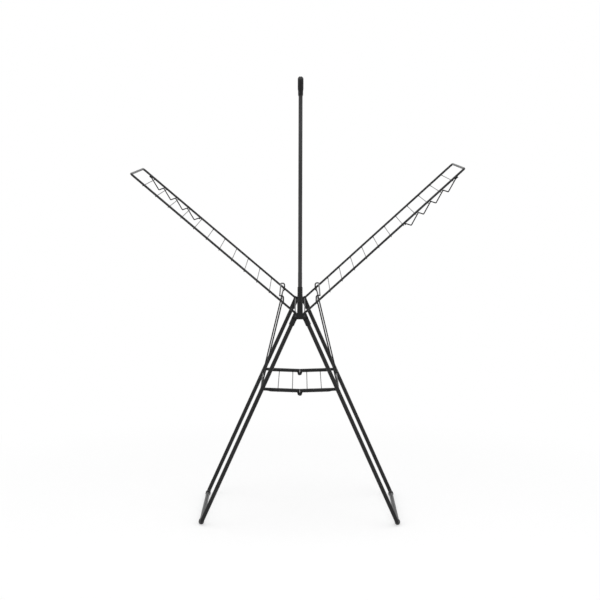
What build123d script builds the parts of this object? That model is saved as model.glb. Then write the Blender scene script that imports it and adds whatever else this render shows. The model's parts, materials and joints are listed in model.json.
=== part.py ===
# Free-standing winged clothes airer with an upright hanging rod, in millimetres.
# X runs across the two wings, Y along the depth with the front at -Y, Z up from the floor.
import os
from math import cos, radians, sin, tan

from build123d import *

os.makedirs("parts", exist_ok=True)

SIDES = {"left": -1, "right": 1}
ENDS = {"front": -1, "rear": 1}

# Fits
PIN_FIT = 0.05  # radial play of a pin in its bore, and of a piece pushed into its seat
FACE_GAP = 0.3  # play between faces that turn or slide past each other

# Leg frames: one bent tube each, leaning out from the hub
LEG_ANGLE = 24.2
LEG_TUBE = 17.5
LEG_WALL = 1.2
LEG_DEPTH = 570.0
LEG_BEND = 20.0
LEG_PIVOT_X = 18.5
LEG_PIVOT_Z = 910.0

# Ring feet on the floor bars
FOOT_RING = 23.0
FOOT_LENGTH = 24.0
FOOT_FLAT = 0.6
FOOT_EDGE = 1.5

# Hub at each end: a cheek with two leg pivots and a boss for the rod
CHEEK_THICK = 6.0
CHEEK_TOP = 20.0  # above the leg pivots
CHEEK_DROP = 14.5  # below the leg pivots, between the legs
CHEEK_FOOT_WIDTH = 27.0
CHEEK_EDGE = 1.2
KNUCKLE_R = 12.0
KNUCKLE_THICK = 13.4
WEB_WIDTH = 11.0
WEB_FOOT = 6.0  # below the leg pivots
BRIDGE_WIDTH = 24.0
PIVOT_PIN = 6.0
PIN_HEAD = 10.0
PIN_HEAD_THICK = 1.6
PIN_HEAD_TAPER = 20.0

# Leg caps: sleeve on the leg tube, knuckle and the ear that carries the wing
CAP_SLEEVE = 23.0
CAP_SLEEVE_START = 15.0  # from the leg pivot down to the round part of the sleeve
CAP_CROWN = 3.0  # closed end of the sleeve, over the tube
CAP_SLEEVE_END = 44.0  # from the leg pivot down to the mouth of the sleeve
CAP_SLEEVE_EDGE = 1.0
EAR_R = 5.5
WING_PIVOT_ALONG = 8.0  # wing pivot from the leg pivot, up along the leg
WING_PIVOT_OUT = 6.0  # and square to the leg, outward
HINGE_ROD = 5.0

# Wings: bent tube, cross wires under it, and a notched wire for hangers under one side
WING_RISE = {"left": 40.3, "right": 42.5}
WING_LENGTH = 904.0
WING_SIDE_GAP = 1.8  # from the rod boss to the end plug
WING_TUBE = 9.5
WING_WALL = 1.0
WING_BEND = 14.0
WING_GAPS = 13
WING_WIRE = 3.2
WIRE_OVERHANG = 3.0
PLUG_EYE = 12.0
PLUG_LENGTH = 11.0
PLUG_COLLAR = 3.0
PLUG_SPIGOT = 16.0
HANGER_WIRE = 5.0
HANGER_NOTCHES = 4
HANGER_DEPTH = 27.0  # from the tube's axis down to the bottom of a notch
HANGER_LOW = 45.0  # from a cross wire to the bottom of the notch beside it
HANGER_STEP = 13.0  # from a cross wire out to the crest beside it
HANGER_LEAD = 14.0
HANGER_TAIL = 7.0
HANGER_BEND = 3.2
HANGER_CREST_RISE = 0.5  # what the bend takes off a crest

# Stays: a wire bow on each leg axle, hooked round the wing's first cross wire
AXLE = 6.0
AXLE_DROP = 363.5  # from the leg pivot down along the leg
STAY_WIRE = 6.0
STAY_SIDE_GAP = 8.0  # from the shelf bar to the eye of the stay
STAY_EYE = 14.0
STAY_EYE_THICK = 8.0
STAY_LEDGE = 11.0
STAY_LEDGE_ANGLE = 45.0
STAY_HOOK_RISE = 29.0  # from the cross wire up to the top of the crook
STAY_HOOK_REACH = 16.0
STAY_BEND = 8.0
STAY_CORNER = 7.0

# Shelf: two halves on a middle pin, each hooked over a leg axle
SHELF_SAG = 2.0
SHELF_BAR = 16.0
SHELF_WALL = 1.0
SHELF_SIDE_GAP = 8.25  # from the leg tube to the shelf bar
SHELF_WIRE = 3.5
SHELF_WIRES = (32.0, 94.0)  # from the middle of the shelf
SHELF_WIRE_SEAT = 4.0  # from the end of a wire to the middle of the bar above it
SHELF_PIN = 5.0
SHELF_PIN_HEAD = 9.0
LOBE_R = 6.3
LOBE_SPREAD = 3.0  # how far a lobe is drawn out towards its own bar
LOBE_REACH = 12.0
LOBE_THICK = 5.7
HOOK_START = 112.0  # from the middle of the shelf
HOOK_SPIGOT = 14.0
HOOK_LIP = 4.5
HOOK_LIP_EDGE = 1.5
HOOK_RELIEF = 4.2  # hollow under the hook, where the axle slides as the rack folds
HOOK_RELIEF_LENGTH = 48.0

# Hanging rod: two uprights in hub sockets, elbows and a top bar
ROD_TUBE = 16.8
ROD_WALL = 1.2
ROD_TOP = 1900.0
ROD_FOOT = 30.0  # from the leg pivots up to the foot of the uprights
SOCKET_TUBE = 19.0
SOCKET_TOP = 122.0  # above the leg pivots
BOSS = 23.4
BOSS_TOP = 56.0  # above the leg pivots
ELBOW = 24.0
ELBOW_BEND = 14.0
ELBOW_SHOULDER = 44.0  # from the top bar's axis down to the shoulder
ELBOW_NECK = 21.0
ELBOW_LENGTH = 67.0
ELBOW_REACH = 46.0
ELBOW_GROOVE = 4.6
ELBOW_GROOVE_DEPTH = 1.2
TONGUE_WIDTH = 4.6
TONGUE_HEIGHT = 20.0
TONGUE_RISE = 1.0

# Sizes that follow from the ones above
LEG_Y = LEG_DEPTH / 2
WING_Y = LEG_Y - BOSS / 2 - WING_SIDE_GAP - PLUG_LENGTH / 2
SHELF_Y = LEG_Y - LEG_TUBE / 2 - SHELF_SIDE_GAP - SHELF_BAR / 2
STAY_Y = SHELF_Y - SHELF_BAR / 2 - STAY_SIDE_GAP - STAY_EYE_THICK / 2
LEG_TUBE_DROP = CAP_SLEEVE_START + CAP_CROWN
FLOOR_BAR_Z = FOOT_RING / 2 - FOOT_FLAT
LEG_LENGTH = (LEG_PIVOT_Z - FLOOR_BAR_Z) / cos(radians(LEG_ANGLE))
KNUCKLE_FACE = LEG_Y + KNUCKLE_THICK / 2
CHEEK_FACE = KNUCKLE_FACE + FACE_GAP
WIRE_PITCH = WING_LENGTH / WING_GAPS
WIRE_UNDER = (WING_TUBE + WING_WIRE) / 2
BRIDGE_BASE = WING_PIVOT_ALONG + WING_PIVOT_OUT * sin(radians(LEG_ANGLE)) + EAR_R
SHELF_BAR_RISE = SHELF_BAR / 2 + LOBE_R + FACE_GAP
SHELF_BUTT = FACE_GAP / 2 + (SHELF_BAR_RISE + SHELF_BAR / 2) * tan(radians(SHELF_SAG))
SHELF_AXLE_RISE = SHELF_BAR_RISE - SHELF_BAR / 2 - FACE_GAP - AXLE / 2
HOOK_RELIEF_R = (HOOK_RELIEF_LENGTH**2 / 4 + HOOK_RELIEF**2) / (2 * HOOK_RELIEF)


def save(piece, label):
    """Label a finished sub-part and write it as its own file."""
    piece.part.label = label
    export_step(piece.part, f"parts/{label}.step")


def leg_up(side):
    """Direction up along a leg, from the foot to the hub."""
    return Vector(-side * sin(radians(LEG_ANGLE)), 0, cos(radians(LEG_ANGLE)))


def leg_out(side):
    """Direction square to a leg, away from the middle of the rack."""
    return Vector(side * cos(radians(LEG_ANGLE)), 0, sin(radians(LEG_ANGLE)))


def leg_point(side, along, out, y):
    """Point given by its place along a leg and square to it, counted from the leg pivot."""
    return Vector(side * LEG_PIVOT_X, y, LEG_PIVOT_Z) + leg_up(side) * along + leg_out(side) * out


def leg_plane(side, y, along=0.0, out=0.0):
    """Upright plane across the depth, with x square to the leg and y up along it."""
    return Plane(leg_point(side, along, out, y), x_dir=leg_out(side), z_dir=(0, -side, 0))


def wing_out(name):
    """Direction along a wing, from its pivot to its tip."""
    rise = radians(WING_RISE[name])
    return Vector(SIDES[name] * cos(rise), 0, sin(rise))


def wing_under(name):
    """Direction square to a wing, to its underside."""
    rise = radians(WING_RISE[name])
    return Vector(SIDES[name] * sin(rise), 0, -cos(rise))


def wing_plane(name, along=0.0, y=0.0, under=0.0):
    """Plane of a wing: x to the tip, z to the underside. The wings are alike, turned half round."""
    side = SIDES[name]
    origin = leg_point(side, WING_PIVOT_ALONG, WING_PIVOT_OUT, -side * y)
    origin += wing_out(name) * along + wing_under(name) * under
    return Plane(origin, x_dir=wing_out(name), z_dir=wing_under(name))


def shelf_reach():
    """Length along a shelf bar from the middle pin to the leg axle."""
    axle_x = leg_point(1, -AXLE_DROP, 0, 0).X
    return (axle_x + SHELF_AXLE_RISE * sin(radians(SHELF_SAG))) / cos(radians(SHELF_SAG))


def shelf_plane(side, y):
    """Upright plane of a shelf half: origin on the middle pin, x out along the bar, y up."""
    sag = radians(SHELF_SAG)
    pin_z = leg_point(side, -AXLE_DROP, 0, 0).Z - shelf_reach() * sin(sag) - SHELF_AXLE_RISE * cos(sag)
    return Plane((0, y, pin_z), x_dir=(side * cos(sag), 0, sin(sag)), z_dir=(0, -side, 0))


def shelf_bar_plane(side, y, out):
    """Plane square across a shelf bar, facing outward."""
    plane = shelf_plane(side, y)
    return Plane(plane.from_local_coords((out, SHELF_BAR_RISE, 0)), z_dir=plane.x_dir)


def front_plane(y, x=0.0, z=0.0):
    """Upright plane facing the front, with x to the right and y up."""
    return Plane((x, y, z), x_dir=(1, 0, 0), z_dir=(0, -1, 0))


# Hub cores
def hub(end):
    pivots = [(-LEG_PIVOT_X, 0), (LEG_PIVOT_X, 0)]
    cheek_middle = end * (CHEEK_FACE + CHEEK_THICK / 2)
    inner_face = LEG_Y - BOSS / 2
    with BuildPart() as core:
        with BuildSketch(front_plane(cheek_middle, z=LEG_PIVOT_Z)):
            with Locations(*pivots):
                Circle(KNUCKLE_R)
            Rectangle(2 * LEG_PIVOT_X, 2 * KNUCKLE_R)
            with Locations((0, CHEEK_TOP / 2)):
                Rectangle(BRIDGE_WIDTH, CHEEK_TOP)
            with Locations((0, -CHEEK_DROP / 2)):
                Rectangle(CHEEK_FOOT_WIDTH, CHEEK_DROP)
        extrude(amount=CHEEK_THICK / 2, both=True)
        fillet(core.faces().sort_by(Axis.Y)[0 if end < 0 else -1].edges(), CHEEK_EDGE)
        web_depth = CHEEK_FACE - inner_face
        web_height = CHEEK_TOP + WEB_FOOT
        with Locations((0, end * (inner_face + web_depth / 2), LEG_PIVOT_Z + CHEEK_TOP - web_height / 2)):
            Box(WEB_WIDTH, web_depth, web_height)
        bridge_z = LEG_PIVOT_Z + (BRIDGE_BASE + CHEEK_TOP) / 2
        with Locations((0, end * (inner_face + web_depth / 2), bridge_z)):
            Box(BRIDGE_WIDTH, web_depth, CHEEK_TOP - BRIDGE_BASE)
        with BuildSketch(Plane((0, end * LEG_Y, LEG_PIVOT_Z + BRIDGE_BASE))):
            Circle(BOSS / 2)
        extrude(amount=BOSS_TOP - BRIDGE_BASE)
        with BuildSketch(Plane((0, end * LEG_Y, LEG_PIVOT_Z + ROD_FOOT))):
            Circle(SOCKET_TUBE / 2 + PIN_FIT)
        extrude(amount=BOSS_TOP, mode=Mode.SUBTRACT)
        with BuildSketch(front_plane(cheek_middle, z=LEG_PIVOT_Z)):
            with Locations(*pivots):
                Circle(PIVOT_PIN / 2 + PIN_FIT)
        extrude(amount=CHEEK_THICK, both=True, mode=Mode.SUBTRACT)
    return core


# Rod sockets: short tubes standing in the hub bosses
def rod_socket(end):
    with BuildPart() as socket:
        with BuildSketch(Plane((0, end * LEG_Y, LEG_PIVOT_Z + ROD_FOOT))):
            Circle(SOCKET_TUBE / 2)
            Circle(ROD_TUBE / 2 + PIN_FIT, mode=Mode.SUBTRACT)
        extrude(amount=SOCKET_TOP - ROD_FOOT)
    return socket


# Leg pivot pins, one through each hub cheek and leg cap, with a head at both ends
def pivot_pins():
    outer = CHEEK_FACE + CHEEK_THICK
    inner = LEG_Y - KNUCKLE_THICK / 2 - FACE_GAP
    with BuildPart() as pins:
        for end in ENDS.values():
            for side in SIDES.values():
                with BuildSketch(front_plane(end * inner, side * LEG_PIVOT_X, LEG_PIVOT_Z)):
                    Circle(PIVOT_PIN / 2)
                extrude(amount=-end * (outer - inner))
                for face, away in ((outer, 1), (inner, -1)):
                    with BuildSketch(front_plane(end * face, side * LEG_PIVOT_X, LEG_PIVOT_Z)):
                        Circle(PIN_HEAD / 2)
                    extrude(amount=-end * away * PIN_HEAD_THICK, taper=PIN_HEAD_TAPER)
    return pins


# Leg frames
def leg_frame(side):
    depth = Vector(0, 1, 0)
    plane = Plane(leg_point(side, 0, 0, 0), x_dir=depth, z_dir=depth.cross(leg_up(side)))
    with BuildPart() as frame:
        with BuildLine(plane) as path:
            FilletPolyline(
                (-LEG_Y, -LEG_TUBE_DROP),
                (-LEG_Y, -LEG_LENGTH),
                (LEG_Y, -LEG_LENGTH),
                (LEG_Y, -LEG_TUBE_DROP),
                radius=LEG_BEND,
            )
        with BuildSketch(Plane(path.wire() @ 0, z_dir=path.wire() % 0)):
            Circle(LEG_TUBE / 2)
            Circle(LEG_TUBE / 2 - LEG_WALL, mode=Mode.SUBTRACT)
        sweep()
        for end in ENDS.values():
            with BuildSketch(leg_plane(side, end * (LEG_Y - LEG_TUBE / 2), -AXLE_DROP)):
                Circle(AXLE / 2 + PIN_FIT)
            extrude(amount=LEG_TUBE / 2, both=True, mode=Mode.SUBTRACT)
    return frame


# Leg caps
def leg_cap(side, end):
    y = end * LEG_Y
    pivot_bore = PIVOT_PIN / 2 + PIN_FIT
    with BuildPart() as cap:
        with BuildSketch(leg_plane(side, y)):
            Circle(KNUCKLE_R)
            with Locations((WING_PIVOT_OUT, WING_PIVOT_ALONG)):
                Circle(EAR_R)
            make_hull()
            with Locations((0, -LEG_TUBE_DROP / 2)):
                Rectangle(CAP_SLEEVE, LEG_TUBE_DROP)
        extrude(amount=KNUCKLE_THICK / 2, both=True)
        with BuildSketch(Plane(leg_point(side, -CAP_SLEEVE_END, 0, y), z_dir=leg_up(side))):
            Circle(CAP_SLEEVE / 2)
        extrude(amount=CAP_SLEEVE_END - CAP_SLEEVE_START)
        mouth = leg_point(side, -CAP_SLEEVE_END, 0, y)
        fillet(cap.edges().filter_by(GeomType.CIRCLE).sort_by_distance(mouth)[0], CAP_SLEEVE_EDGE)
        with BuildSketch(Plane(leg_point(side, -CAP_SLEEVE_END, 0, y), z_dir=leg_up(side))):
            Circle(LEG_TUBE / 2 + PIN_FIT)
        extrude(amount=CAP_SLEEVE_END - LEG_TUBE_DROP, mode=Mode.SUBTRACT)
        with BuildSketch(leg_plane(side, y)):
            Circle(pivot_bore)
            with Locations((WING_PIVOT_OUT, WING_PIVOT_ALONG)):
                Circle(HINGE_ROD / 2 + PIN_FIT)
        extrude(amount=KNUCKLE_THICK, both=True, mode=Mode.SUBTRACT)
    return cap


# Ring feet
def ring_foot(side, end):
    centre = leg_point(side, -LEG_LENGTH, 0, end * (LEG_Y - LEG_BEND - FOOT_LENGTH / 2))
    with BuildPart() as foot:
        with BuildSketch(front_plane(centre.Y, centre.X, centre.Z)):
            Circle(FOOT_RING / 2)
        extrude(amount=FOOT_LENGTH / 2, both=True)
        fillet(foot.edges().filter_by(GeomType.CIRCLE), FOOT_EDGE)
        with BuildSketch(front_plane(centre.Y, centre.X, centre.Z)):
            Circle(LEG_TUBE / 2 + PIN_FIT)
        extrude(amount=FOOT_LENGTH, both=True, mode=Mode.SUBTRACT)
        split(bisect_by=Plane.XY, keep=Keep.TOP)
    return foot


# Leg axles, from the front leg to the rear one
def leg_axle(side):
    with BuildPart() as axle:
        with BuildSketch(leg_plane(side, 0, -AXLE_DROP)):
            Circle(AXLE / 2)
        extrude(amount=LEG_Y, both=True)
    return axle


# Wing hinge rods, from the front leg cap to the rear one
def hinge_rod(side):
    with BuildPart() as rod:
        with BuildSketch(leg_plane(side, 0, WING_PIVOT_ALONG, WING_PIVOT_OUT)):
            Circle(HINGE_ROD / 2)
        extrude(amount=KNUCKLE_FACE, both=True)
    return rod


# Wing frames
def wing_frame(name):
    start = PLUG_EYE / 2 + PLUG_COLLAR
    with BuildPart() as frame:
        with BuildLine(wing_plane(name)) as path:
            FilletPolyline(
                (start, -WING_Y),
                (WING_LENGTH, -WING_Y),
                (WING_LENGTH, WING_Y),
                (start, WING_Y),
                radius=WING_BEND,
            )
        with BuildSketch(Plane(path.wire() @ 0, z_dir=path.wire() % 0)):
            Circle(WING_TUBE / 2)
            Circle(WING_TUBE / 2 - WING_WALL, mode=Mode.SUBTRACT)
        sweep()
    return frame


# Wing end plugs: an eye on the hinge rod and a spigot in the tube
def wing_plugs(name):
    bore = HINGE_ROD / 2 + PIN_FIT
    with BuildPart() as plugs:
        for end in ENDS.values():
            eye = Plane(wing_plane(name, y=end * WING_Y).origin, x_dir=wing_out(name), z_dir=(0, 1, 0))
            along = Plane(eye.origin, z_dir=wing_out(name))
            with BuildSketch(eye):
                Circle(PLUG_EYE / 2)
            extrude(amount=PLUG_LENGTH / 2, both=True)
            with BuildSketch(along):
                Circle(WING_TUBE / 2)
            extrude(amount=PLUG_EYE / 2 + PLUG_COLLAR)
            with BuildSketch(along):
                Circle(WING_TUBE / 2 - WING_WALL - PIN_FIT)
            extrude(amount=PLUG_EYE / 2 + PLUG_COLLAR + PLUG_SPIGOT)
            with BuildSketch(eye):
                Circle(bore)
            extrude(amount=PLUG_LENGTH, both=True, mode=Mode.SUBTRACT)
    return plugs


# Wing cross wires, laid under the tubes
def wing_wires(name):
    with BuildPart() as wires:
        for gap in range(1, WING_GAPS):
            place = wing_plane(name, along=gap * WIRE_PITCH, under=WIRE_UNDER)
            with BuildSketch(Plane(place.origin, z_dir=(0, 1, 0))):
                Circle(WING_WIRE / 2)
            extrude(amount=WING_Y + WIRE_OVERHANG, both=True)
    return wires


# Hanger wires: a notch below each of the outer gaps, for coat hanger hooks
def hanger_wire(name):
    touch = (WING_TUBE + HANGER_WIRE) / 2
    first = WING_LENGTH - WIRE_PITCH
    last = first - HANGER_NOTCHES * WIRE_PITCH + HANGER_STEP
    points = [(first + HANGER_STEP + HANGER_LEAD, touch)]
    for notch in range(HANGER_NOTCHES):
        wire_at = first - notch * WIRE_PITCH
        crest = touch - HANGER_CREST_RISE if notch else touch
        points += [(wire_at + HANGER_STEP, crest), (wire_at - HANGER_LOW, HANGER_DEPTH)]
    points += [(last, touch), (last - HANGER_TAIL, touch)]
    plane = wing_plane(name, y=WING_Y)
    upright = Plane(plane.origin, x_dir=wing_out(name), z_dir=wing_out(name).cross(wing_under(name)))
    with BuildPart() as wire:
        with BuildLine(upright) as path:
            FilletPolyline(*points, radius=HANGER_BEND)
        with BuildSketch(Plane(path.wire() @ 0, z_dir=path.wire() % 0)):
            Circle(HANGER_WIRE / 2)
        sweep()
    return wire


# Stays
def stay(name):
    side = SIDES[name]
    inward = Vector(-side, 0, 0)
    up = Vector(0, 0, 1)
    held = wing_plane(name, along=WIRE_PITCH, under=WIRE_UNDER).origin
    slope = radians(STAY_LEDGE_ANGLE)
    ledge = inward * cos(slope) + up * sin(slope)
    below = inward * sin(slope) - up * cos(slope)
    seat = held + below * ((STAY_WIRE + WING_WIRE) / 2 + FACE_GAP)
    neck = seat - ledge * STAY_LEDGE / 2
    shoulder = seat + ledge * STAY_LEDGE / 2
    crown = Vector(shoulder.X, 0, held.Z + STAY_HOOK_RISE)
    tip = crown - inward * STAY_HOOK_REACH
    axle = leg_point(side, -AXLE_DROP, 0, 0)
    front = Vector(0, -STAY_Y, 0)
    rear = Vector(0, STAY_Y, 0)
    one_side = [axle, neck, shoulder, crown, tip]
    points = [point + front for point in one_side] + [point + rear for point in reversed(one_side)]
    bends = [STAY_BEND, STAY_BEND, STAY_BEND, STAY_CORNER]
    with BuildPart() as bow:
        with BuildLine() as path:
            FilletPolyline(*points, radius=bends + bends[::-1])
        with BuildSketch(Plane(path.wire() @ 0, z_dir=path.wire() % 0)):
            Circle(STAY_WIRE / 2)
        sweep()
        for end in ENDS.values():
            with BuildSketch(leg_plane(side, end * STAY_Y, -AXLE_DROP)):
                Circle(STAY_EYE / 2)
            extrude(amount=STAY_EYE_THICK / 2, both=True)
        with BuildSketch(leg_plane(side, 0, -AXLE_DROP)):
            Circle(AXLE / 2 + PIN_FIT)
        extrude(amount=STAY_Y + STAY_EYE_THICK, both=True, mode=Mode.SUBTRACT)
    return bow


# Shelf bars
def shelf_bar(side, end):
    with BuildPart() as bar:
        with BuildSketch(shelf_bar_plane(side, end * SHELF_Y, SHELF_BUTT)):
            Circle(SHELF_BAR / 2)
            Circle(SHELF_BAR / 2 - SHELF_WALL, mode=Mode.SUBTRACT)
        extrude(amount=HOOK_START - SHELF_BUTT)
    return bar


# Shelf hooks: the outer ends of the bars, with a lip behind the axle and a back that leans with the leg
def shelf_hook(side, end):
    plane = shelf_plane(side, end * SHELF_Y)
    lip_face = shelf_reach() + AXLE / 2 + FACE_GAP
    back = lip_face + HOOK_LIP
    above = SHELF_BAR_RISE + SHELF_BAR
    lean = (above - SHELF_AXLE_RISE) * tan(radians(LEG_ANGLE - SHELF_SAG))
    lip_foot = SHELF_AXLE_RISE - AXLE / 2
    lip_height = SHELF_BAR_RISE - lip_foot
    relief_middle = shelf_reach() - HOOK_RELIEF_LENGTH / 2 + AXLE / 2
    relief_drop = SHELF_BAR_RISE - SHELF_BAR / 2 + HOOK_RELIEF - HOOK_RELIEF_R
    with BuildPart() as hook:
        with BuildSketch(shelf_bar_plane(side, end * SHELF_Y, HOOK_START - HOOK_SPIGOT)):
            Circle(SHELF_BAR / 2 - SHELF_WALL - PIN_FIT)
        extrude(amount=HOOK_SPIGOT)
        with BuildSketch(shelf_bar_plane(side, end * SHELF_Y, HOOK_START)):
            Circle(SHELF_BAR / 2)
        extrude(amount=back - HOOK_START)
        with BuildSketch(plane):
            with Locations((relief_middle, relief_drop)):
                Circle(HOOK_RELIEF_R)
        extrude(amount=SHELF_BAR, both=True, mode=Mode.SUBTRACT)
        with BuildSketch(plane):
            with Locations((lip_face + HOOK_LIP / 2, lip_foot + lip_height / 2)):
                RectangleRounded(HOOK_LIP, lip_height, HOOK_LIP_EDGE)
        extrude(amount=SHELF_BAR / 2, both=True)
        with BuildSketch(plane):
            Polygon(
                (back, SHELF_AXLE_RISE),
                (back + HOOK_LIP, SHELF_AXLE_RISE),
                (back + HOOK_LIP, above),
                (back - lean, above),
                align=None,
            )
        extrude(amount=SHELF_BAR, both=True, mode=Mode.SUBTRACT)
    return hook


# Shelf lobes: knuckles on the middle pin, the left ones inside the right ones
def shelf_lobe(side, end):
    lane = SHELF_Y + side * (LOBE_THICK + FACE_GAP) / 2
    bar_foot = SHELF_BAR_RISE - SHELF_BAR / 2
    with BuildPart() as lobe:
        with BuildSketch(shelf_plane(side, end * lane)):
            with Locations((LOBE_SPREAD / 2, 0)):
                SlotCenterToCenter(LOBE_SPREAD, LOBE_R * 2)
            Polygon(
                (SHELF_BUTT, 0),
                (LOBE_R + LOBE_SPREAD, 0),
                (LOBE_REACH, bar_foot),
                (LOBE_REACH, SHELF_BAR_RISE),
                (SHELF_BUTT, SHELF_BAR_RISE),
                align=None,
            )
            Circle(SHELF_PIN / 2 + PIN_FIT, mode=Mode.SUBTRACT)
        extrude(amount=LOBE_THICK / 2, both=True)
        with BuildSketch(shelf_bar_plane(side, end * SHELF_Y, 0)):
            Circle(SHELF_BAR / 2 + PIN_FIT)
        extrude(amount=LOBE_REACH * 2, mode=Mode.SUBTRACT)
    return lobe


# Shelf pins, one at each end of the fold
def shelf_pins():
    outer = SHELF_Y + LOBE_THICK + FACE_GAP
    inner = SHELF_Y - LOBE_THICK - FACE_GAP
    with BuildPart() as pins:
        for end in ENDS.values():
            with BuildSketch(shelf_plane(1, end * inner)):
                Circle(SHELF_PIN / 2)
            extrude(amount=-end * (outer - inner))
            for face, away in ((outer, 1), (inner, -1)):
                with BuildSketch(shelf_plane(1, end * face)):
                    Circle(SHELF_PIN_HEAD / 2)
                extrude(amount=-end * away * PIN_HEAD_THICK, taper=PIN_HEAD_TAPER)
    return pins


# Shelf cross wires, seated against the lower inner flanks of the bars
def shelf_wires(side):
    with BuildPart() as wires:
        for from_middle in SHELF_WIRES:
            with BuildSketch(shelf_plane(side, 0)):
                with Locations((from_middle, SHELF_BAR_RISE - SHELF_BAR / 2)):
                    Circle(SHELF_WIRE / 2)
            extrude(amount=SHELF_Y - SHELF_WIRE_SEAT, both=True)
        for end in ENDS.values():
            with BuildSketch(shelf_bar_plane(side, end * SHELF_Y, 0)):
                Circle(SHELF_BAR / 2 + PIN_FIT)
            extrude(amount=HOOK_START, mode=Mode.SUBTRACT)
    return wires


# Rod uprights
def upright(end):
    foot = LEG_PIVOT_Z + ROD_FOOT
    with BuildPart() as tube:
        with BuildSketch(Plane((0, end * LEG_Y, foot))):
            Circle(ROD_TUBE / 2)
            Circle(ROD_TUBE / 2 - ROD_WALL, mode=Mode.SUBTRACT)
        extrude(amount=ROD_TOP - ELBOW_BEND - foot)
    return tube


# Top bar
def top_bar():
    with BuildPart() as tube:
        with BuildSketch(front_plane(0, z=ROD_TOP)):
            Circle(ROD_TUBE / 2)
            Circle(ROD_TUBE / 2 - ROD_WALL, mode=Mode.SUBTRACT)
        extrude(amount=LEG_Y - ELBOW_BEND, both=True)
    return tube


# Elbows: bent sleeves over the uprights and the top bar, with a groove round the outside
def elbow(end):
    y = end * LEG_Y
    inward = Plane((0, y, ROD_TOP), x_dir=(0, -end, 0), z_dir=(-end, 0, 0))
    shoulder = Plane((0, y, ROD_TOP - ELBOW_SHOULDER))
    with BuildPart() as corner:
        with BuildLine(inward) as path:
            FilletPolyline((0, -ELBOW_SHOULDER), (0, 0), (ELBOW_REACH, 0), radius=ELBOW_BEND)
        with BuildSketch(shoulder):
            Circle(ELBOW / 2)
        sweep(path=path.wire())
        with BuildSketch(shoulder):
            with Locations((0, end * ELBOW / 2)):
                Rectangle(ELBOW_GROOVE, 2 * ELBOW_GROOVE_DEPTH)
        sweep(path=path.wire(), mode=Mode.SUBTRACT)
        with BuildSketch(shoulder):
            Circle(ELBOW_NECK / 2)
        extrude(amount=ELBOW_SHOULDER - ELBOW_LENGTH)
        tongue_middle = ROD_TOP - ELBOW_LENGTH + TONGUE_HEIGHT / 2 + TONGUE_RISE
        with BuildSketch(front_plane(y, z=tongue_middle)):
            SlotOverall(TONGUE_HEIGHT, TONGUE_WIDTH, rotation=90)
        extrude(amount=-end * (ELBOW_NECK / 2 + TONGUE_RISE))
        with BuildSketch(Plane((0, y, ROD_TOP - ELBOW_BEND))):
            Circle(ROD_TUBE / 2 + PIN_FIT)
        extrude(amount=-ELBOW_LENGTH, mode=Mode.SUBTRACT)
        with BuildSketch(front_plane(y - end * ELBOW_BEND, z=ROD_TOP)):
            Circle(ROD_TUBE / 2 + PIN_FIT)
        extrude(amount=end * ELBOW_REACH, mode=Mode.SUBTRACT)
    return corner


save(pivot_pins(), "leg_pivot_pins")
save(shelf_pins(), "shelf_pins")
save(top_bar(), "rod_top_bar")
for end_name, end_sign in ENDS.items():
    save(hub(end_sign), f"hub_{end_name}")
    save(rod_socket(end_sign), f"rod_socket_{end_name}")
    save(upright(end_sign), f"rod_upright_{end_name}")
    save(elbow(end_sign), f"rod_elbow_{end_name}")
for side_name, side_sign in SIDES.items():
    save(leg_frame(side_sign), f"leg_frame_{side_name}")
    save(leg_axle(side_sign), f"leg_axle_{side_name}")
    save(hinge_rod(side_sign), f"wing_hinge_rod_{side_name}")
    save(wing_frame(side_name), f"wing_frame_{side_name}")
    save(wing_plugs(side_name), f"wing_end_plugs_{side_name}")
    save(wing_wires(side_name), f"wing_wires_{side_name}")
    save(hanger_wire(side_name), f"hanger_wire_{side_name}")
    save(stay(side_name), f"wing_stay_{side_name}")
    save(shelf_wires(side_sign), f"shelf_wires_{side_name}")
    for end_name, end_sign in ENDS.items():
        save(leg_cap(side_sign, end_sign), f"leg_cap_{side_name}_{end_name}")
        save(ring_foot(side_sign, end_sign), f"foot_{side_name}_{end_name}")
        save(shelf_bar(side_sign, end_sign), f"shelf_bar_{side_name}_{end_name}")
        save(shelf_hook(side_sign, end_sign), f"shelf_hook_{side_name}_{end_name}")
        save(shelf_lobe(side_sign, end_sign), f"shelf_lobe_{side_name}_{end_name}")
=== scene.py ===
import json
import math

import bmesh
import bpy
from mathutils import Matrix, Vector


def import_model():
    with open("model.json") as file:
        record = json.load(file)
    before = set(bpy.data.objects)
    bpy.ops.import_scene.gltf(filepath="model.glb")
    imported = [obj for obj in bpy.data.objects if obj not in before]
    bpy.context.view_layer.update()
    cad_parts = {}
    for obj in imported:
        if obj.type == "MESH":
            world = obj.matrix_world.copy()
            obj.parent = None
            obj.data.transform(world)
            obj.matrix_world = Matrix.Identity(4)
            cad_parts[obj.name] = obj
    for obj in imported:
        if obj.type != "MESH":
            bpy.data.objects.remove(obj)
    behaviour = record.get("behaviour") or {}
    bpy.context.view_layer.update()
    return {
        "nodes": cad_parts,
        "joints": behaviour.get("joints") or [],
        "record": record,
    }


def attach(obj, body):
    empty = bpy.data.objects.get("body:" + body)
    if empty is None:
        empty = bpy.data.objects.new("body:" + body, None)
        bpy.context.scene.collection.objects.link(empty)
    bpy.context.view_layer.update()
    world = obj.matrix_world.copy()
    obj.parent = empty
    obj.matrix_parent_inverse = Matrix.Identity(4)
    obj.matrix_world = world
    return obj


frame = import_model()
nodes = frame["nodes"]
pivots = {joint["child"]: joint["pos_m"] for joint in frame["joints"] if "pos_m" in joint}
scene = bpy.context.scene

SIDES = {"left": -1, "right": 1}

# Wing sizes that the weld beads follow
WING_RISE = {"left": 40.3, "right": 42.5}
WING_LENGTH = 0.904
WING_Y = 0.266
WING_GAPS = 13
WING_TUBE_R = 0.00475
WING_WIRE_R = 0.0016

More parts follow.
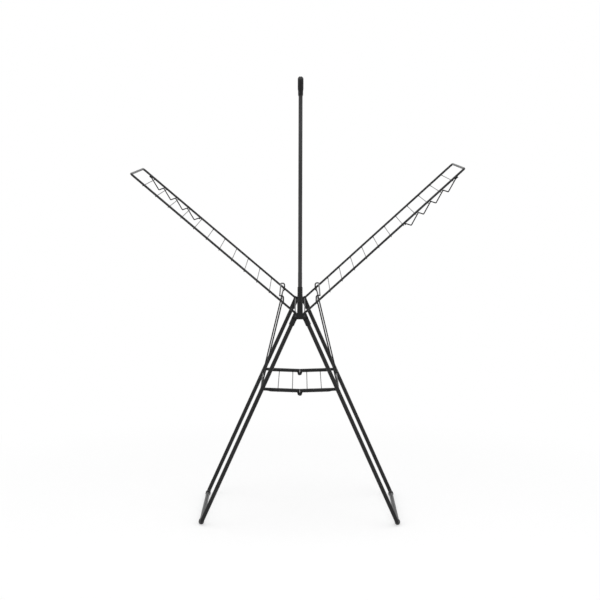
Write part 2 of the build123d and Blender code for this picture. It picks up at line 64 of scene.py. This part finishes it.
# Shelf sizes that the weld beads follow
SHELF_SAG = 2.0
SHELF_Y = 0.260
SHELF_BAR_RISE = 0.0146
SHELF_BAR_R = 0.008
SHELF_WIRE_R = 0.00175
SHELF_WIRES = (0.032, 0.094)

# Weld beads: half lengths in metres, widths, heights and places in radii of the wire, tube or bar
WING_BEAD_LENGTH = 0.0034
WING_BEAD_IN = 0.45
WING_BEAD_SINK = 0.3
SHELF_BEAD_LENGTH = 0.0032
SHELF_BEAD_IN = 0.62
SHELF_BEAD_DROP = 0.86
BEAD_WIDTH = 1.35
BEAD_HEIGHT = 0.9

# Camera and picture
IMAGE_PIXELS = 600
FOCAL_PIXELS = 1600
CAMERA_PLACE = (0.0, -6.985, 1.795)
CAMERA_PITCH = -6.964
CAMERA_ROLL = 0.163
SENSOR = 36.0
CLIP_END = 200

# Colours
COAT_DARK = (0.0045, 0.0045, 0.0048, 1)
COAT_LIGHT = (0.010, 0.010, 0.0104, 1)
# Painted highlight: the rod's coat is the same black steel made lighter, standing in for the gloss its
# tubes catch from the lamps
ROD_SHEEN_DARK = (0.027, 0.027, 0.0276, 1)
ROD_SHEEN_LIGHT = (0.041, 0.041, 0.0417, 1)
# Painted light: the wing frames' coat is the same black steel made lighter, standing in for the light
# their thin tubes catch
WING_LIT_DARK = (0.014, 0.014, 0.0144, 1)
WING_LIT_LIGHT = (0.024, 0.024, 0.0245, 1)
PLASTIC_DARK = (0.0035, 0.0035, 0.0038, 1)
PLASTIC_LIGHT = (0.0075, 0.0075, 0.0079, 1)
PIN_DARK = (0.020, 0.020, 0.022, 1)
PIN_LIGHT = (0.050, 0.050, 0.054, 1)
FLOOR_COLOUR = (0.90, 0.90, 0.90, 1)

# Textures: roughness of the noise, and where a colour ramp starts and ends
NOISE_ROUGHNESS = 0.55
RAMP_START = 0.35
RAMP_END = 0.65

# Studio: floor sizes in metres, the share of plain white near the object, and the light all round
FLOOR_SIZE = 120
FADE_START = 0.9
FADE_END = 2.2
FADE_NEAR = 0.5
AMBIENT = 0.80


def new_material(name):
    """A material with a texture coordinate and a shader, and the means to add nodes."""
    material = bpy.data.materials.new(name)
    material.use_nodes = True
    tree = material.node_tree
    shader = tree.nodes["Principled BSDF"]
    place = tree.nodes.new("ShaderNodeTexCoord").outputs["Object"]
    return material, tree, shader, place


def noise(tree, place, scale, detail):
    """A cloudy texture."""
    node = tree.nodes.new("ShaderNodeTexNoise")
    node.inputs["Scale"].default_value = scale
    node.inputs["Detail"].default_value = detail
    node.inputs["Roughness"].default_value = NOISE_ROUGHNESS
    tree.links.new(place, node.inputs["Vector"])
    return node.outputs["Fac"]


def ramp(tree, factor, low, high):
    """Colours between the two ends of a texture."""
    node = tree.nodes.new("ShaderNodeValToRGB")
    node.color_ramp.elements[0].position = RAMP_START
    node.color_ramp.elements[1].position = RAMP_END
    node.color_ramp.elements[0].color = low
    node.color_ramp.elements[1].color = high
    tree.links.new(factor, node.inputs["Fac"])
    return node.outputs["Color"]


def level(tree, factor, low, high):
    """A plain number that follows a texture."""
    node = tree.nodes.new("ShaderNodeMapRange")
    node.inputs["To Min"].default_value = low
    node.inputs["To Max"].default_value = high
    tree.links.new(factor, node.inputs["Value"])
    return node.outputs["Result"]


def bump(tree, shader, heights, distance):
    """Relief from one or more textures laid over each other."""
    normal = None
    for height, strength in heights:
        node = tree.nodes.new("ShaderNodeBump")
        node.inputs["Strength"].default_value = strength
        node.inputs["Distance"].default_value = distance
        tree.links.new(height, node.inputs["Height"])
        if normal is not None:
            tree.links.new(normal, node.inputs["Normal"])
        normal = node.outputs["Normal"]
    tree.links.new(normal, shader.inputs["Normal"])


# Matt black powder coat: orange peel, fine grain and a little cloudiness, in a darker or a lighter shade
def powder_coat(name, dark, light):
    material, tree, shader, place = new_material(name)
    cloud = noise(tree, place, scale=9.0, detail=3.0)
    peel = noise(tree, place, scale=320.0, detail=2.0)
    grain = noise(tree, place, scale=1500.0, detail=3.0)
    tree.links.new(ramp(tree, cloud, dark, light), shader.inputs["Base Color"])
    tree.links.new(level(tree, grain, low=0.30, high=0.44), shader.inputs["Roughness"])
    shader.inputs["Specular IOR Level"].default_value = 0.24
    bump(tree, shader, ((peel, 0.22), (grain, 0.16)), distance=0.0004)
    return material


# Moulded plastic: fine spark-eroded grain
def moulded_plastic():
    material, tree, shader, place = new_material("moulded_plastic")
    cells = tree.nodes.new("ShaderNodeTexVoronoi")
    cells.inputs["Scale"].default_value = 1300.0
    tree.links.new(place, cells.inputs["Vector"])
    cloud = noise(tree, place, scale=30.0, detail=3.0)
    tree.links.new(ramp(tree, cloud, PLASTIC_DARK, PLASTIC_LIGHT), shader.inputs["Base Color"])
    tree.links.new(level(tree, cloud, low=0.40, high=0.52), shader.inputs["Roughness"])
    shader.inputs["Specular IOR Level"].default_value = 0.22
    bump(tree, shader, ((cells.outputs["Distance"], 0.28), (cloud, 0.10)), distance=0.0003)
    return material


# Blackened pin heads: turned marks and rubbed spots
def pin_steel():
    material, tree, shader, place = new_material("pin_steel")
    rubbed = noise(tree, place, scale=420.0, detail=5.0)
    marks = noise(tree, place, scale=2600.0, detail=1.0)
    tree.links.new(ramp(tree, rubbed, PIN_DARK, PIN_LIGHT), shader.inputs["Base Color"])
    tree.links.new(level(tree, marks, low=0.30, high=0.50), shader.inputs["Roughness"])
    shader.inputs["Metallic"].default_value = 0.7
    bump(tree, shader, ((marks, 0.18),), distance=0.0002)
    return material


# Materials of the CAD nodes
COAT = powder_coat("powder_coat", COAT_DARK, COAT_LIGHT)
# Lighter copy of the black coat for the rod: painted highlight
ROD_SHEEN_COAT = powder_coat("rod_painted_sheen_coat", ROD_SHEEN_DARK, ROD_SHEEN_LIGHT)
# Lighter copy of the black coat for the wing frames: painted light
WING_LIT_COAT = powder_coat("wing_painted_light_coat", WING_LIT_DARK, WING_LIT_LIGHT)
PLASTIC = moulded_plastic()
PIN = pin_steel()
BY_SLOT = {"black_steel": COAT, "black_plastic": PLASTIC, "pin_steel": PIN}
SLOT_OF = {part["node"]: part["material_slot"] for part in frame["record"]["subparts"]}
# The rod and wing frame nodes take the lighter copies of the coat, with painted light in their colour; the
# rest take the coat of their slot
PAINTED_LIGHT_COATS = {"rod_upright": ROD_SHEEN_COAT, "rod_top": ROD_SHEEN_COAT, "wing_frame": WING_LIT_COAT}

for name, node in nodes.items():
    node.data.materials.clear()
    node.data.materials.append(PAINTED_LIGHT_COATS.get(name.rpartition("_")[0], BY_SLOT[SLOT_OF[name]]))


def bead(mesh, centre, across, along, up, size):
    """A small weld bead: a flattened ball lying along a wire, with its half sizes along, across and up."""
    start = len(mesh.verts)
    bmesh.ops.create_icosphere(mesh, subdivisions=2, radius=1.0)
    mesh.verts.ensure_lookup_table()
    turn = Matrix((along, across, up)).transposed()
    for vert in mesh.verts[start:]:
        local = Vector((vert.co.x * size[0], vert.co.y * size[1], vert.co.z * size[2]))
        vert.co = centre + turn @ local


def finish_beads(mesh, name, body):
    """One piece of all the beads of a wing or a shelf half, riding on its body."""
    data = bpy.data.meshes.new(name)
    mesh.to_mesh(data)
    mesh.free()
    data.shade_smooth()
    data.materials.append(COAT)
    piece = bpy.data.objects.new(name, data)
    scene.collection.objects.link(piece)
    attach(piece, body)


# Weld beads where the wing wires meet the wing tubes
def wing_welds(name):
    side = SIDES[name]
    rise = math.radians(WING_RISE[name])
    out = Vector((side * math.cos(rise), 0, math.sin(rise)))
    under = Vector((side * math.sin(rise), 0, -math.cos(rise)))
    depth = Vector((0, 1, 0))
    pivot = Vector(pivots[f"{name}_wing"])
    size = (WING_BEAD_LENGTH, WING_WIRE_R * BEAD_WIDTH, WING_WIRE_R * BEAD_HEIGHT)
    mesh = bmesh.new()
    for gap in range(1, WING_GAPS):
        for end in (-1, 1):
            centre = pivot + out * (gap * WING_LENGTH / WING_GAPS)
            centre += depth * (end * (WING_Y - WING_TUBE_R * WING_BEAD_IN))
            centre += under * (WING_TUBE_R + WING_WIRE_R * WING_BEAD_SINK)
            bead(mesh, centre, out, depth, under, size)
    finish_beads(mesh, f"wing_welds_{name}", f"{name}_wing")


# Weld beads where the shelf wires meet the shelf bars
def shelf_welds(name):
    side = SIDES[name]
    sag = math.radians(SHELF_SAG)
    out = Vector((side * math.cos(sag), 0, math.sin(sag)))
    up = Vector((-side * math.sin(sag), 0, math.cos(sag)))
    depth = Vector((0, 1, 0))
    pivot = Vector(pivots[f"{name}_shelf"])
    size = (SHELF_BEAD_LENGTH, SHELF_WIRE_R * BEAD_WIDTH, SHELF_WIRE_R * BEAD_HEIGHT)
    mesh = bmesh.new()
    for reach in SHELF_WIRES:
        for end in (-1, 1):
            centre = pivot + out * reach + depth * (end * (SHELF_Y - SHELF_BAR_R * SHELF_BEAD_IN))
            centre += up * (SHELF_BAR_RISE - SHELF_BAR_R * SHELF_BEAD_DROP)
            bead(mesh, centre, out, depth, up, size)
    finish_beads(mesh, f"shelf_welds_{name}", f"{name}_shelf")


for side_name in SIDES:
    wing_welds(side_name)
    shelf_welds(side_name)


# Floor: pale, with the object's faint shadow, fading to plain white far from the object
def floor():
    bpy.ops.mesh.primitive_plane_add(size=FLOOR_SIZE)
    plane = bpy.context.object
    plane.name = "floor"
    material, tree, shader, place = new_material("pale_floor")
    shader.inputs["Roughness"].default_value = 0.9
    shader.inputs["Specular IOR Level"].default_value = 0.0
    shader.inputs["Base Color"].default_value = FLOOR_COLOUR
    distance = tree.nodes.new("ShaderNodeVectorMath")
    distance.operation = "LENGTH"
    tree.links.new(place, distance.inputs[0])
    fade = tree.nodes.new("ShaderNodeMapRange")
    fade.interpolation_type = "SMOOTHSTEP"
    fade.inputs["From Min"].default_value = FADE_START
    fade.inputs["From Max"].default_value = FADE_END
    fade.inputs["To Min"].default_value = FADE_NEAR
    tree.links.new(distance.outputs["Value"], fade.inputs["Value"])
    seen = tree.nodes.new("ShaderNodeMath")
    seen.operation = "MULTIPLY"
    tree.links.new(fade.outputs["Result"], seen.inputs[0])
    tree.links.new(tree.nodes.new("ShaderNodeLightPath").outputs["Is Camera Ray"], seen.inputs[1])
    white = tree.nodes.new("ShaderNodeEmission")
    blend = tree.nodes.new("ShaderNodeMixShader")
    tree.links.new(seen.outputs["Value"], blend.inputs["Fac"])
    tree.links.new(shader.outputs["BSDF"], blend.inputs[1])
    tree.links.new(white.outputs["Emission"], blend.inputs[2])
    tree.links.new(blend.outputs["Shader"], tree.nodes["Material Output"].inputs["Surface"])
    plane.data.materials.append(material)


# World: white to the camera and in reflections, plain soft light for the rest
def world():
    made = bpy.data.worlds.new("studio")
    scene.world = made
    made.use_nodes = True
    tree = made.node_tree
    background = tree.nodes["Background"]
    background.inputs["Color"].default_value = (1, 1, 1, 1)
    path = tree.nodes.new("ShaderNodeLightPath")
    seen = tree.nodes.new("ShaderNodeMath")
    seen.operation = "MAXIMUM"
    tree.links.new(path.outputs["Is Camera Ray"], seen.inputs[0])
    tree.links.new(path.outputs["Is Glossy Ray"], seen.inputs[1])
    tree.links.new(level(tree, seen.outputs["Value"], AMBIENT, 1.0), background.inputs["Strength"])


# Soft boxes: a broad one above and one from the front on each side
def soft_box(name, place, target, size, power):
    light = bpy.data.lights.new(name, "AREA")
    light.shape = "RECTANGLE"
    light.size, light.size_y = size
    light.energy = power
    lamp = bpy.data.objects.new(name, light)
    lamp.location = place
    lamp.rotation_euler = (Vector(target) - Vector(place)).to_track_quat("-Z", "Y").to_euler()
    scene.collection.objects.link(lamp)


# Camera at the photo's place: in line with the rod, a little below its top
def camera():
    data = bpy.data.cameras.new("camera")
    data.sensor_width = SENSOR
    data.lens = FOCAL_PIXELS * SENSOR / IMAGE_PIXELS
    data.clip_end = CLIP_END
    seen = bpy.data.objects.new("camera", data)
    tilt = Matrix.Rotation(math.radians(90 + CAMERA_PITCH), 4, "X")
    roll = Matrix.Rotation(math.radians(CAMERA_ROLL), 4, "Z")
    seen.matrix_world = Matrix.Translation(CAMERA_PLACE) @ tilt @ roll
    scene.collection.objects.link(seen)
    scene.camera = seen


floor()
world()
soft_box("top_box", place=(0, -0.4, 4.6), target=(0, 0, 0.8), size=(4.0, 3.0), power=70)
soft_box("left_box", place=(-3.2, -3.4, 2.6), target=(0, 0, 0.9), size=(1.6, 2.4), power=18)
soft_box("right_box", place=(3.2, -3.4, 2.6), target=(0, 0, 0.9), size=(1.6, 2.4), power=18)
camera()
scene.view_settings.view_transform = "Standard"
